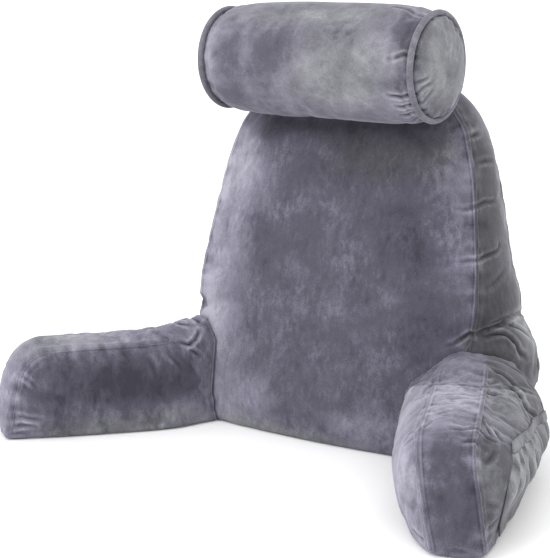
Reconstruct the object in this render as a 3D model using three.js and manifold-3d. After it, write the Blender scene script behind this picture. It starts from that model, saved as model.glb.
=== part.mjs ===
// Backrest pillow: a filled wedge to lean on, two filled arms that lie on the bed beside
// the sitter, and a round neck roll on top. Everything is one plain velvet cover over a
// soft filling. Millimetres; X runs across the seat, Y toward the back, Z up.

import * as THREE from 'three';
import Module from 'manifold-3d';

const GAP = 0.5;
const SEAM_INSET = 5;
const WELT_HEIGHT = 1.8;
const TUCK_RADIUS = 11;

// Bands are rounded across, and flatter near the surface that they rest on.
const BAND_ROUNDNESS = 2.4;
const BAND_FOOT = { share: 0.22, height: 38 };

// Backrest: the front panel leans back, the back panel stands nearly upright. The depth
// table also tells how much wider the back panel is than the front one.
const FRONT_LEAN = 0.216;
const BACKREST_TOP = 488;
const BACKREST_SHOULDER = 360;
const BACKREST_CORNER_HEIGHT = 462;
const BACKREST_CORNER_POWER = 3;
const FRONT_CROWN = 26;
const BACK_CROWN = 16;
const BACKREST_CROWN_REACH = 52;
const BACKREST_CROWN_FOOT = { share: 0.5, height: 70 };
const BACKREST_SPREAD_POWER = 0.8;
const SIDE_BAND_CROWN = 12;
const JOINT_PINCH = { across: 205, height: 163, width: 24, tall: 12, sink: 6 };
const BACKREST_WIDTHS = [
  { height: 0, half: 176 },
  { height: 45, half: 184 },
  { height: 100, half: 198 },
  { height: 165, half: 213 },
  { height: 230, half: 212 },
  { height: 320, half: 199 },
  { height: 400, half: 184 },
  { height: 488, half: 164 },
];
const BACKREST_DEPTHS = [
  { height: 0, depth: 176, spread: 1.2 },
  { height: 50, depth: 170, spread: 1.27 },
  { height: 90, depth: 160, spread: 1.3 },
  { height: 128, depth: 150, spread: 1.19 },
  { height: 170, depth: 138, spread: 1.075 },
  { height: 208, depth: 127, spread: 1.035 },
  { height: 250, depth: 115, spread: 1.0 },
  { height: 336, depth: 94, spread: 0.985 },
  { height: 400, depth: 82, spread: 0.96 },
  { height: 488, depth: 68, spread: 0.95 },
];
const BACKREST_ROWS = [
  0, 1.4, 5, 11, 22, 38, 56, 76, 96, 116, 134, 148, 159, 168, 177, 188, 202, 218, 234,
  246, 255, 264, 276, 292, 308, 319, 328, 338, 354, 372, 390, 405, 415, 424, 434, 448,
];
const BACKREST_COLUMNS = 18;
const BACKREST_BAND_COLUMNS = 8;

// Creases and soft rolls across each side band; height is read at the front seam, and
// each climbs by its rise on the way to the back seam. They start at the front seam, fade
// out round their reach, and only lie where the band faces sideways.
const CREASE_START = 0.12;
const CREASE_FADE = 0.12;
const CREASE_FACING = { from: 0.6, full: 0.95 };
const SIDE_CREASES = [
  { height: 410, rise: 6, width: 8, swell: -4, reach: 0.7 },
  { height: 327, rise: 5, width: 8, swell: -4, reach: 0.75 },
  { height: 258, rise: 30, width: 9, swell: -5, reach: 0.75 },
  { height: 184, rise: 4, width: 12, swell: 5, reach: 0.9 },
  { height: 168, rise: 9, width: 9, swell: -11, reach: 1 },
  { height: 150, rise: -14, width: 13, swell: 6, reach: 1 },
  { height: 140, rise: -50, width: 10, swell: -4, reach: 1 },
];

// Arms: inner and outer side panels with a band over the top and down the end. Where the
// arm meets the backrest a seam crosses its top. The crown tables tell how far each side
// stands out past the band, in its upper part and at its foot, from the end inside the
// backrest to the free end; footHeight is where a side's foot passes into its upper part.
// Near the backrest the inner shoulder slopes down by the arm's shoulder drop. The free end
// slopes out below by the arm's flare, and its top rises by the arm's end rise.
const ARM_BAND_HALF = 30;
const ARM_CORNER = 45;
const ARM_CROWN_DOWN = 17;
const ARM_CROWN_ALONG = 26;
const ARM_BAND_CROWN = 10;
const ARM_BACK_END = -108;
const ARM_JOINT = { at: 63, width: 6, sink: 3, start: 6, reach: 26 };
const ARM_SHOULDER = { start: 66, full: 4, inward: 55, outward: 10, low: 30, high: 130 };
const ARM_FLARE_TOP = 104;
const ARM_RISE = { from: 60, to: 220 };
const ARM_ROW_SPACE = 4;
const ARM_TOP = [
  { at: -108, height: 142 },
  { at: -20, height: 139 },
  { at: 25, height: 134 },
  { at: 63, height: 127 },
  { at: 110, height: 124 },
  { at: 300, height: 123 },
];
const ARM_ROWS = [0, 1.4, 5, 11, 20, 32, 46, 60, 73, 85, 96, 105];
const ARM_STATIONS = [
  -108, -72, -42, -18, 2, 20, 37, 52, 63, 74, 88, 104, 122, 142, 162, 182, 202, 220, 236,
];
const ARM_CORNER_STEPS = 4;
const ARM_BAND_COLUMNS = 8;
const ARMS = [
  {
    side: -1,
    splay: 37,
    length: 274,
    rootX: 199,
    rootY: 22,
    lean: 0.02,
    endRise: 4,
    shoulder: 30,
    flare: 19,
    footHeight: { inner: 58, outer: 52 },
    crowns: [
      { at: -108, inner: 4, innerFoot: 14, outer: 30, outerFoot: 16 },
      { at: 0, inner: 7, innerFoot: 20, outer: 46, outerFoot: 25 },
      { at: 60, inner: 18, innerFoot: 34, outer: 48, outerFoot: 26 },
      { at: 130, inner: 23, innerFoot: 29, outer: 46, outerFoot: 25 },
      { at: 220, inner: 22, innerFoot: 17, outer: 40, outerFoot: 20 },
      { at: 300, inner: 21, innerFoot: 5, outer: 32, outerFoot: 6 },
    ],
  },
  {
    side: 1,
    splay: 20,
    length: 290,
    rootX: 230,
    rootY: 20,
    lean: 0.16,
    endRise: 0,
    shoulder: 14,
    flare: 0,
    footHeight: { inner: 52, outer: 84 },
    crowns: [
      { at: -108, inner: 34, innerFoot: 32, outer: 30, outerFoot: 20 },
      { at: -50, inner: 48, innerFoot: 45, outer: 60, outerFoot: 38 },
      { at: 0, inner: 53, innerFoot: 50, outer: 72, outerFoot: 42 },
      { at: 45, inner: 52, innerFoot: 49, outer: 71, outerFoot: 37 },
      { at: 105, inner: 49, innerFoot: 46, outer: 66, outerFoot: 27 },
      { at: 160, inner: 45, innerFoot: 41, outer: 60, outerFoot: 20 },
      { at: 214, inner: 40, innerFoot: 36, outer: 50, outerFoot: 15 },
      { at: 260, inner: 34, innerFoot: 30, outer: 41, outerFoot: 14 },
      { at: 300, inner: 29, innerFoot: 24, outer: 34, outerFoot: 13 },
    ],
  },
];

// Neck roll: its axis lies across the top, turned and tipped a little.
const ROLL_CENTRE = { x: 0, y: 34, z: 508 };
const ROLL_TURN = -3.9;
const ROLL_TIP = -1.6;
const ROLL_PROFILE = [
  { at: 0, radius: 75.5 },
  { at: 60, radius: 75.5 },
  { at: 105, radius: 74.6 },
  { at: 132, radius: 72.4 },
  { at: 146, radius: 69.6 },
  { at: 153, radius: 66.6 },
  { at: 156.8, radius: 61.6 },
  { at: 167.2, radius: 61.6 },
  { at: 171.5, radius: 57 },
  { at: 176.5, radius: 45 },
  { at: 180.5, radius: 30 },
  { at: 182.6, radius: 14 },
];
const ROLL_TIP_AT = 183.4;
const ROLL_SEGMENTS = 44;
const PIPING = { at: 162, radius: 66.3, halfWidth: 4.6, halfHeight: 4.2 };
const PIPING_SIDES = 8;

// Pocket on the outer side of the right arm, gathered into a flat band at its mouth.
const POCKET = { back: 16, front: 256, frontTop: 214, bendHeight: 58, foot: 16, clearance: 1.3 };
const POCKET_MOUTH = { back: 77, front: 98 };
const POCKET_BAND = { back: 10, front: 7, thickness: 2.6, overlap: 3, columns: 18, rows: 2 };
const POCKET_CLOTH = 2.2;
const POCKET_PLEATS = { count: 11, depth: 2.6, steps: 4, full: 0.9 };
const POCKET_ROWS = 7;

const ROUGHNESS = 0.9;
const COLOURS = {
  backrest: '#72707e',
  arm_left: '#6b6977',
  arm_right: '#76747f',
  neck_roll: '#8f8d9b',
  roll_piping_left: '#8a8995',
  roll_piping_right: '#8a8995',
  pocket_right: '#7b7b7f',
  pocket_band_right: '#8b8b90',
};

const radians = (degrees) => (degrees * Math.PI) / 180;
const mix = (a, b, t) => a + (b - a) * t;
const clamp = (value, low, high) => Math.min(high, Math.max(low, value));
const bell = (distance, width) => Math.exp(-((distance / width) ** 2));
const ease = (low, high, value) => {
  const t = clamp((value - low) / (high - low), 0, 1);
  return t * t * (3 - 2 * t);
};

// A smooth curve through the rows of a table, from one named column to another.
function curve(rows, from, to, at) {
  const last = rows.length - 1;
  let k = 0;
  while (k < last - 1 && at > rows[k + 1][from]) k += 1;
  const a = rows[Math.max(k - 1, 0)];
  const b = rows[k];
  const c = rows[k + 1];
  const d = rows[Math.min(k + 2, last)];
  const span = c[from] - b[from];
  const t = clamp((at - b[from]) / span, 0, 1);
  const slopeB = ((c[to] - a[to]) / (c[from] - a[from])) * span;
  const slopeC = ((d[to] - b[to]) / (d[from] - b[from])) * span;
  const t2 = t * t;
  const t3 = t2 * t;
  return (2 * t3 - 3 * t2 + 1) * b[to] + (t3 - 2 * t2 + t) * slopeB
    + (3 * t2 - 2 * t3) * c[to] + (t3 - t2) * slopeC;
}

// Points evenly spaced along a line of points.
function spread(line, count) {
  const lengths = [0];
  for (let i = 1; i < line.length; i += 1) {
    const step = Math.hypot(line[i][0] - line[i - 1][0], line[i][1] - line[i - 1][1]);
    lengths.push(lengths[i - 1] + step);
  }
  const total = lengths[line.length - 1];
  const points = [];
  let k = 0;
  for (let i = 0; i <= count; i += 1) {
    const at = (total * i) / count;
    while (k < line.length - 2 && lengths[k + 1] < at) k += 1;
    const t = (at - lengths[k]) / (lengths[k + 1] - lengths[k]);
    points.push([mix(line[k][0], line[k + 1][0], t), mix(line[k][1], line[k + 1][1], t)]);
  }
  return points;
}

// Distance from a point to a line of points.
function distanceTo(line, u, v) {
  let best = Infinity;
  for (let i = 1; i < line.length; i += 1) {
    const [au, av] = line[i - 1];
    const du = line[i][0] - au;
    const dv = line[i][1] - av;
    const t = clamp(((u - au) * du + (v - av) * dv) / (du * du + dv * dv), 0, 1);
    best = Math.min(best, Math.hypot(u - au - t * du, v - av - t * dv));
  }
  return best;
}

// Unit vector square to a line of points, pointing to its left.
function squareTo(line, k) {
  const a = line[Math.max(k - 1, 0)];
  const b = line[Math.min(k + 1, line.length - 1)];
  const length = Math.hypot(b[0] - a[0], b[1] - a[1]);
  return [-(b[1] - a[1]) / length, (b[0] - a[0]) / length];
}

// How far the cover draws in where it turns under.
function tuck(height) {
  const drop = Math.max(TUCK_RADIUS - height, 0);
  return TUCK_RADIUS - Math.sqrt(TUCK_RADIUS ** 2 - drop ** 2);
}

// How far a band of this crown stands out at a share of its width and a height.
function bandSwell(crown, share, height) {
  const round = 1 - Math.abs(2 * share - 1) ** BAND_ROUNDNESS;
  return crown * round * mix(BAND_FOOT.share, 1, ease(0, BAND_FOOT.height, height));
}

// A closed skin; points that fall together share a vertex.
class Skin {
  constructor() {
    this.positions = [];
    this.faces = [];
    this.seen = new Map();
  }

  point(p) {
    const key = p.map((value) => Math.round(value * 1000)).join(',');
    if (!this.seen.has(key)) {
      this.seen.set(key, this.positions.length / 3);
      this.positions.push(...p);
    }
    return this.seen.get(key);
  }

  triangle(a, b, c) {
    if (a !== b && b !== c && c !== a) this.faces.push(a, b, c);
  }

  sheet(rows, turned) {
    const grid = rows.map((row) => row.map((p) => this.point(p)));
    for (let j = 0; j + 1 < grid.length; j += 1) {
      for (let i = 0; i + 1 < grid[j].length; i += 1) {
        const [a, b, c, d] = [grid[j][i], grid[j][i + 1], grid[j + 1][i + 1], grid[j + 1][i]];
        this.triangle(a, turned ? c : b, turned ? b : c);
        this.triangle(a, turned ? d : c, turned ? c : d);
      }
    }
  }

  // Signed volume tells whether the faces look out; they are turned when they do not.
  geometry() {
    const { positions: p, faces: f } = this;
    let volume = 0;
    for (let k = 0; k < f.length; k += 3) {
      const [a, b, c] = [f[k] * 3, f[k + 1] * 3, f[k + 2] * 3];
      volume += p[a] * (p[b + 1] * p[c + 2] - p[b + 2] * p[c + 1])
        + p[a + 1] * (p[b + 2] * p[c] - p[b] * p[c + 2])
        + p[a + 2] * (p[b] * p[c + 1] - p[b + 1] * p[c]);
    }
    const faces = volume < 0 ? f.slice().reverse() : f;
    const geometry = new THREE.BufferGeometry();
    geometry.setAttribute('position', new THREE.Float32BufferAttribute(p, 3));
    geometry.setIndex(faces);
    geometry.computeVertexNormals();
    return geometry;
  }
}

// A filled cushion: two panels sewn to a band that runs up one edge, over the top and
// down the other, with a flat underside. Its own axes are u along the panels, t through
// the thickness and v up. Left, top and right list the border; panels give t for a point
// of each panel by its reach from the seam; place puts a point in the object.
function cushion({ left, top, right, panels, bandCrown, bandColumns, place }) {
  const rowCount = left.length - 1;
  const columnCount = top.length - 1;
  const border = [...left, ...top.slice(1, -1), ...right.slice().reverse()];
  const last = border.length - 1;
  const outward = border.map((_, k) => squareTo(border, k));
  const borderIndex = (i, j) => {
    if (i === 0) return j;
    return j === rowCount ? rowCount + i : last - j;
  };
  const onBorder = (i, j) => i === 0 || i === columnCount || j === rowCount;

  // The line where the panels begin inside the seam.
  const inset = (k) => border[k].map((value, axis) => value - outward[k][axis] * SEAM_INSET);
  const insetEdge = (i) => left.slice(0, rowCount).map((_, j) => {
    const k = borderIndex(i, j);
    return j < rowCount - 1 ? [inset(k)[0], border[k][1]] : inset(borderIndex(i, rowCount));
  });
  const shares = top.map((p) => (p[0] - top[0][0]) / (top[columnCount][0] - top[0][0]));
  const innerShares = shares.slice(1, -1).map(
    (share) => (share - shares[1]) / (shares[columnCount - 1] - shares[1]),
  );
  const innerLeft = insetEdge(0);
  const innerRight = insetEdge(columnCount);
  const innerTop = innerShares.map((_, i) => {
    if (i === 0) return innerLeft[rowCount - 1];
    if (i === columnCount - 2) return innerRight[rowCount - 1];
    return inset(borderIndex(i + 1, rowCount));
  });
  const inner = (i, j) => {
    const s = innerShares[i];
    const t = (innerLeft[j][1] / innerLeft[rowCount - 1][1]) ** 2;
    return [0, 1].map((axis) => {
      const edge = mix(innerLeft[j][axis], innerRight[j][axis], s);
      const corners = mix(innerTop[0][axis], innerTop[columnCount - 2][axis], s);
      return edge + t * (innerTop[i][axis] - corners);
    });
  };

  const band = border.map(([u, v], k) => {
    const [nu, nv] = outward[k];
    const welt = WELT_HEIGHT * ease(0, TUCK_RADIUS, v);
    const [front, back] = panels.map((panel) => panel(u, v, 0));
    const width = back - front;
    const stations = [0, SEAM_INSET / width];
    for (let r = 1; r < bandColumns - 2; r += 1) stations.push(r / (bandColumns - 2));
    stations.push(1 - SEAM_INSET / width, 1);
    return stations.map((share, r) => {
      const onSeam = r === 0 || r === bandColumns;
      const out = onSeam ? welt : bandCrown({ share, u, v, nu, nv });
      const aside = onSeam ? welt * Math.sign(share - 0.5) : 0;
      return place(u + nu * out, mix(front, back, share) + aside, Math.max(v + nv * out, 0));
    });
  });

  const panelRows = panels.map((panel, side) => left.map((_, j) => top.map((__, i) => {
    if (onBorder(i, j)) return band[borderIndex(i, j)][side ? bandColumns : 0];
    const [u, v] = inner(i - 1, j);
    return place(u, panel(u, v, distanceTo(border, u, v)), v);
  })));

  const skin = new Skin();
  skin.sheet(panelRows[0], false);
  skin.sheet(panelRows[1], true);
  skin.sheet(band, true);
  const [front, back] = panelRows.map((rows) => rows[0]);
  const foot = band[0].map((_, r) => front.map((__, i) => {
    const s = shares[i];
    const t = r / bandColumns;
    return [0, 1, 2].map((axis) => (
      mix(front[i][axis], back[i][axis], t) + mix(band[0][r][axis], band[last][r][axis], s)
      - mix(
        mix(front[0][axis], front[columnCount][axis], s),
        mix(back[0][axis], back[columnCount][axis], s),
        t,
      )
    ));
  }));
  skin.sheet(foot, true);
  return skin.geometry();
}

// Half the backrest's width at a height, with the top corners rounded off.
function backrestHalf(height) {
  const width = curve(BACKREST_WIDTHS, 'height', 'half', height);
  const above = clamp((height - BACKREST_SHOULDER) / (BACKREST_TOP - BACKREST_SHOULDER), 0, 1);
  const rounding = (1 - above ** BACKREST_CORNER_POWER) ** (1 / BACKREST_CORNER_POWER);
  return width * rounding - tuck(height);
}

function makeBackrest() {
  const heights = [...BACKREST_ROWS, BACKREST_CORNER_HEIGHT];
  const edge = (side) => heights.map((height) => [side * backrestHalf(height), height]);
  const steps = 60;
  const rise = Array.from({ length: steps + 1 }, (_, k) => {
    const height = mix(BACKREST_CORNER_HEIGHT, BACKREST_TOP, 1 - (1 - k / steps) ** 2);
    return [-backrestHalf(height), height];
  });
  const over = rise.slice(0, -1).reverse().map(([u, v]) => [-u, v]);
  const top = spread([...rise, ...over], BACKREST_COLUMNS);
  const left = edge(-1);
  const right = edge(1);
  const crownFoot = (height) => (
    mix(BACKREST_CROWN_FOOT.share, 1, ease(0, BACKREST_CROWN_FOOT.height, height))
  );
  const swell = (reach, height, size) => (
    size * (1 - Math.exp(-reach / BACKREST_CROWN_REACH)) * crownFoot(height)
  );
  const pinch = (u, v) => (
    JOINT_PINCH.sink * bell(Math.abs(u) - JOINT_PINCH.across, JOINT_PINCH.width)
      * bell(v - JOINT_PINCH.height, JOINT_PINCH.tall)
  );
  const depthAt = (v) => curve(BACKREST_DEPTHS, 'height', 'depth', v);
  const place = (u, t, v) => {
    const spreadAt = curve(BACKREST_DEPTHS, 'height', 'spread', v);
    const share = clamp((t - v * FRONT_LEAN) / depthAt(v), 0, 1);
    return [u * mix(1, spreadAt, share ** BACKREST_SPREAD_POWER), t, v];
  };
  const bandCrown = ({ share, v, nu }) => {
    const folds = SIDE_CREASES.reduce((sum, fold) => (
      sum + fold.swell * bell(v - fold.height - fold.rise * share, fold.width)
        * (1 - ease(fold.reach - CREASE_FADE, fold.reach + CREASE_FADE, share))
    ), 0);
    const onSide = ease(CREASE_FACING.from, CREASE_FACING.full, Math.abs(nu));
    return bandSwell(SIDE_BAND_CROWN, share, v) + folds * onSide * ease(0, CREASE_START, share);
  };
  return cushion({
    left,
    top,
    right,
    panels: [
      (u, v, reach) => v * FRONT_LEAN + tuck(v) - swell(reach, v, FRONT_CROWN) + pinch(u, v),
      (u, v, reach) => v * FRONT_LEAN + depthAt(v) - tuck(v) + swell(reach, v, BACK_CROWN),
    ],
    bandCrown,
    bandColumns: BACKREST_BAND_COLUMNS,
    place,
  });
}

// Where a point of an arm lies: u runs out along the arm, t out from the seat, v up.
function armPlace(arm) {
  const splay = radians(arm.splay);
  const [ax, ay] = [arm.side * Math.sin(splay), -Math.cos(splay)];
  const [ox, oy] = [arm.side * Math.cos(splay), Math.sin(splay)];
  const { start, full, inward, outward, low, high } = ARM_SHOULDER;
  return (u, t, v) => {
    const aside = t - arm.lean * v;
    const slope = ease(0, 1, (start - u) / (start - full)) * ease(-outward, inward, -t);
    return [
      arm.side * arm.rootX + ax * u + ox * aside,
      arm.rootY + ay * u + oy * aside,
      v - slope * arm.shoulder * ease(low, high, v),
    ];
  };
}

// The arm's border and the thickness of its two side panels.
function armShape(arm) {
  const topAt = (at) => (
    curve(ARM_TOP, 'at', 'height', at) + arm.endRise * ease(ARM_RISE.from, ARM_RISE.to, at)
  );
  const bend = arm.length - ARM_CORNER;
  const crest = topAt(bend);
  const corner = (angle) => [
    bend + ARM_CORNER * Math.sin(angle),
    crest - ARM_CORNER * (1 - Math.cos(angle)),
  ];
  const cornerHeight = corner(Math.PI / 4)[1];
  const lower = ARM_ROWS.filter((height) => height < cornerHeight - ARM_ROW_SPACE);
  const heights = [...lower, cornerHeight];
  const endAt = (height) => {
    const lift = clamp(ARM_CORNER - crest + height, 0, ARM_CORNER);
    const flare = arm.flare * clamp(1 - height / ARM_FLARE_TOP, 0, 1);
    return bend + Math.sqrt(ARM_CORNER ** 2 - lift ** 2) + flare - tuck(height);
  };
  const overAt = (at) => {
    const past = clamp(at - bend, 0, ARM_CORNER);
    return (past > 0 ? crest : topAt(at)) - ARM_CORNER + Math.sqrt(ARM_CORNER ** 2 - past ** 2);
  };
  const right = heights.map((height) => [endAt(height), height]);
  const rearHeight = topAt(ARM_BACK_END);
  const left = heights.map((height) => {
    const share = Math.max(height - TUCK_RADIUS, 0) / (cornerHeight - TUCK_RADIUS);
    return [ARM_BACK_END, Math.min(height, TUCK_RADIUS) + share * (rearHeight - TUCK_RADIUS)];
  });
  const top = ARM_STATIONS.filter((at) => at < bend).map((at) => [at, topAt(at)]);
  for (let k = 0; k <= ARM_CORNER_STEPS; k += 1) {
    top.push(corner((Math.PI / 4) * (k / ARM_CORNER_STEPS)));
  }
  const joint = (u) => ARM_JOINT.sink * bell(u - ARM_JOINT.at, ARM_JOINT.width);
  const swell = (u, v, side) => {
    const down = Math.max(overAt(u) - v, 0);
    const inward = Math.max(endAt(v) - u, 0);
    const rise = (1 - Math.exp(-down / ARM_CROWN_DOWN)) * (1 - Math.exp(-inward / ARM_CROWN_ALONG));
    const seam = joint(u) * ease(0, ARM_JOINT.start, down) * (1 - ease(0, ARM_JOINT.reach, down));
    const [foot, upper] = [`${side}Foot`, side].map((name) => curve(arm.crowns, 'at', name, u));
    return rise * mix(foot, upper, ease(0, arm.footHeight[side], v)) - seam;
  };
  return {
    left,
    top,
    right,
    joint,
    panels: [
      (u, v) => tuck(v) - ARM_BAND_HALF - swell(u, v, 'inner'),
      (u, v) => ARM_BAND_HALF - tuck(v) + swell(u, v, 'outer'),
    ],
  };
}

function makeArm(arm) {
  const { joint, ...shape } = armShape(arm);
  const bandCrown = ({ share, u, v, nv }) => (
    bandSwell(ARM_BAND_CROWN, share, v) - joint(u) * Math.abs(nv)
  );
  return cushion({ ...shape, bandCrown, bandColumns: ARM_BAND_COLUMNS, place: armPlace(arm) });
}

// The roll's own axes: a along its length, then a circle square to it.
function rollPoint(at, radius, angle) {
  const turn = radians(ROLL_TURN);
  const tip = radians(ROLL_TIP);
  const [ax, ay, az] = [
    Math.cos(turn) * Math.cos(tip),
    Math.sin(turn) * Math.cos(tip),
    Math.sin(tip),
  ];
  const [bx, by] = [-Math.sin(turn), Math.cos(turn)];
  const [cx, cy, cz] = [-az * by, az * bx, ax * by - ay * bx];
  const [p, q] = [radius * Math.cos(angle), radius * Math.sin(angle)];
  return [
    ROLL_CENTRE.x + ax * at + bx * p + cx * q,
    ROLL_CENTRE.y + ay * at + by * p + cy * q,
    ROLL_CENTRE.z + az * at + cz * q,
  ];
}

const turnOf = (k, count) => (2 * Math.PI * (k % count)) / count;

function makeRoll() {
  const skin = new Skin();
  const half = ROLL_PROFILE.slice(1);
  const profile = [
    ...half.slice().reverse().map(({ at, radius }) => ({ at: -at, radius })),
    ...ROLL_PROFILE,
  ];
  const ring = ({ at, radius }) => Array.from(
    { length: ROLL_SEGMENTS + 1 },
    (_, k) => rollPoint(at, radius, turnOf(k, ROLL_SEGMENTS)),
  );
  const tip = (at) => ring({ at, radius: 0 });
  skin.sheet([tip(-ROLL_TIP_AT), ...profile.map(ring), tip(ROLL_TIP_AT)], false);
  return skin.geometry();
}

function makePiping(side) {
  const skin = new Skin();
  const section = (k) => {
    const angle = turnOf(k, PIPING_SIDES);
    return {
      at: side * PIPING.at + PIPING.halfWidth * Math.cos(angle),
      radius: PIPING.radius + PIPING.halfHeight * Math.sin(angle),
    };
  };
  const rows = Array.from({ length: PIPING_SIDES + 1 }, (_, k) => {
    const { at, radius } = section(k);
    return Array.from(
      { length: ROLL_SEGMENTS + 1 },
      (__, n) => rollPoint(at, radius, turnOf(n, ROLL_SEGMENTS)),
    );
  });
  skin.sheet(rows, false);
  return skin.geometry();
}

// A strip of cloth that lies over the outer side of an arm. It runs from one edge of the
// pocket to the other, between two heights that change along the way.
function armStrip(arm, { overlap, low, high, columns, rows, thickness, lift }) {
  const { panels } = armShape(arm);
  const place = armPlace(arm);
  const frontAt = (v) => {
    const past = Math.max(v - POCKET.bendHeight, 0) / (POCKET_MOUTH.front - POCKET.bendHeight);
    return mix(POCKET.front, POCKET.frontTop, past ** 2);
  };
  const face = (extra) => Array.from({ length: rows + 1 }, (_, j) => (
    Array.from({ length: columns + 1 }, (__, i) => {
      const s = i / columns;
      const t = j / rows;
      const v = mix(low(s), high(s), t);
      const u = mix(POCKET.back - overlap, frontAt(v) + overlap, s);
      return place(u, panels[1](u, v) + POCKET.clearance + lift(s, t) + extra, v);
    })
  ));
  const under = face(0);
  const over = face(thickness);
  const rim = (pick) => [pick(under), pick(over)];
  const skin = new Skin();
  skin.sheet(under, false);
  skin.sheet(over, true);
  skin.sheet(rim((grid) => grid[0]), true);
  skin.sheet(rim((grid) => grid[rows]), false);
  skin.sheet(rim((grid) => grid.map((row) => row[0])), false);
  skin.sheet(rim((grid) => grid.map((row) => row[columns])), true);
  return skin.geometry();
}

const mouthAt = (s) => mix(POCKET_MOUTH.back, POCKET_MOUTH.front, s);

function makePocket(arm) {
  const { count, depth, steps, full } = POCKET_PLEATS;
  const pleat = (s) => 0.5 - 0.5 * Math.cos(2 * Math.PI * count * s);
  return armStrip(arm, {
    overlap: 0,
    low: () => POCKET.foot,
    high: mouthAt,
    columns: count * steps,
    rows: POCKET_ROWS,
    thickness: POCKET_CLOTH,
    lift: (s, t) => depth * pleat(s) * ease(0, full, t),
  });
}

function makePocketBand(arm) {
  const { back, front, thickness, overlap, columns, rows } = POCKET_BAND;
  const past = overlap / (POCKET.frontTop - POCKET.back);
  const low = (s) => mouthAt(mix(-past, 1 + past, s)) + GAP;
  return armStrip(arm, {
    overlap,
    low,
    high: (s) => low(s) + mix(back, front, s),
    columns,
    rows,
    thickness,
    lift: () => 0,
  });
}

// A copy of a solid let out by the gap all round.
function letOut(geometry, distance) {
  const grown = geometry.clone();
  const positions = grown.getAttribute('position');
  const normals = grown.getAttribute('normal');
  for (let k = 0; k < positions.count; k += 1) {
    positions.setXYZ(
      k,
      positions.getX(k) + normals.getX(k) * distance,
      positions.getY(k) + normals.getY(k) * distance,
      positions.getZ(k) + normals.getZ(k) * distance,
    );
  }
  return grown;
}

const wasm = await Module();
wasm.setup();

function toSolid(geometry) {
  return new wasm.Manifold(new wasm.Mesh({
    numProp: 3,
    vertProperties: Float32Array.from(geometry.getAttribute('position').array),
    triVerts: Uint32Array.from(geometry.getIndex().array),
  }));
}

function cutBy(geometry, cutters) {
  const cut = cutters.reduce(
    (solid, cutter) => solid.subtract(toSolid(letOut(cutter, GAP))),
    toSolid(geometry),
  );
  const mesh = cut.getMesh();
  const result = new THREE.BufferGeometry();
  result.setAttribute('position', new THREE.Float32BufferAttribute(mesh.vertProperties, 3));
  result.setIndex(Array.from(mesh.triVerts));
  result.computeVertexNormals();
  return result;
}

const [armLeft, armRight] = ARMS;
const roll = makeRoll();
const pipings = { left: makePiping(-1), right: makePiping(1) };
const backrest = cutBy(makeBackrest(), [roll, pipings.left, pipings.right]);
const pieces = {
  backrest,
  arm_left: cutBy(makeArm(armLeft), [backrest]),
  arm_right: cutBy(makeArm(armRight), [backrest]),
  neck_roll: roll,
  roll_piping_left: pipings.left,
  roll_piping_right: pipings.right,
  pocket_right: makePocket(armRight),
  pocket_band_right: makePocketBand(armRight),
};

// The object is set down with the middle of its footprint box at the origin.
const bounds = new THREE.Box3();
Object.values(pieces).forEach((geometry) => {
  geometry.computeBoundingBox();
  bounds.union(geometry.boundingBox);
});
const middle = bounds.getCenter(new THREE.Vector3());
const part = new THREE.Group();
Object.entries(pieces).forEach(([name, geometry]) => {
  geometry.translate(-middle.x, -middle.y, -bounds.min.z);
  const material = new THREE.MeshStandardMaterial({
    color: COLOURS[name],
    roughness: ROUGHNESS,
    metalness: 0,
  });
  const mesh = new THREE.Mesh(geometry, material);
  mesh.name = name;
  part.add(mesh);
});

export default part;
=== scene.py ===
import math

import bmesh
import bpy
import numpy as np
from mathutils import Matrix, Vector, noise
from mathutils.bvhtree import BVHTree
from mathutils.kdtree import KDTree


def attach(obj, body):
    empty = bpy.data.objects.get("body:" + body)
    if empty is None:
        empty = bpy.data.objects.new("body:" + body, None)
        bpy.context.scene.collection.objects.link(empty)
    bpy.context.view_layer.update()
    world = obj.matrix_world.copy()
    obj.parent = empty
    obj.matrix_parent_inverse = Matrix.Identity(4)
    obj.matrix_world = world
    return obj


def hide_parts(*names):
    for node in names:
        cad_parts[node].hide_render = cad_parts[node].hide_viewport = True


# A backrest pillow: a velvet cover stuffed with loose foam. A wedge to lean on and two arms
# are sewn from panels and bands, and a piped neck roll lies on the top. One arm carries a
# gathered pocket on its outer side. Table rows are in millimetres, meshes in metres.
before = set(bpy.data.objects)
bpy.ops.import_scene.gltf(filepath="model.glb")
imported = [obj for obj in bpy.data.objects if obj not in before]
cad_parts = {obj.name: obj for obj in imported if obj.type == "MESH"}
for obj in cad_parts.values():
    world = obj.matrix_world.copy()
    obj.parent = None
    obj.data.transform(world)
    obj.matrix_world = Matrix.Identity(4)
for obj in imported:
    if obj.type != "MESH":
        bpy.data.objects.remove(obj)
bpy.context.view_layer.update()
MM = 0.001

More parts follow.
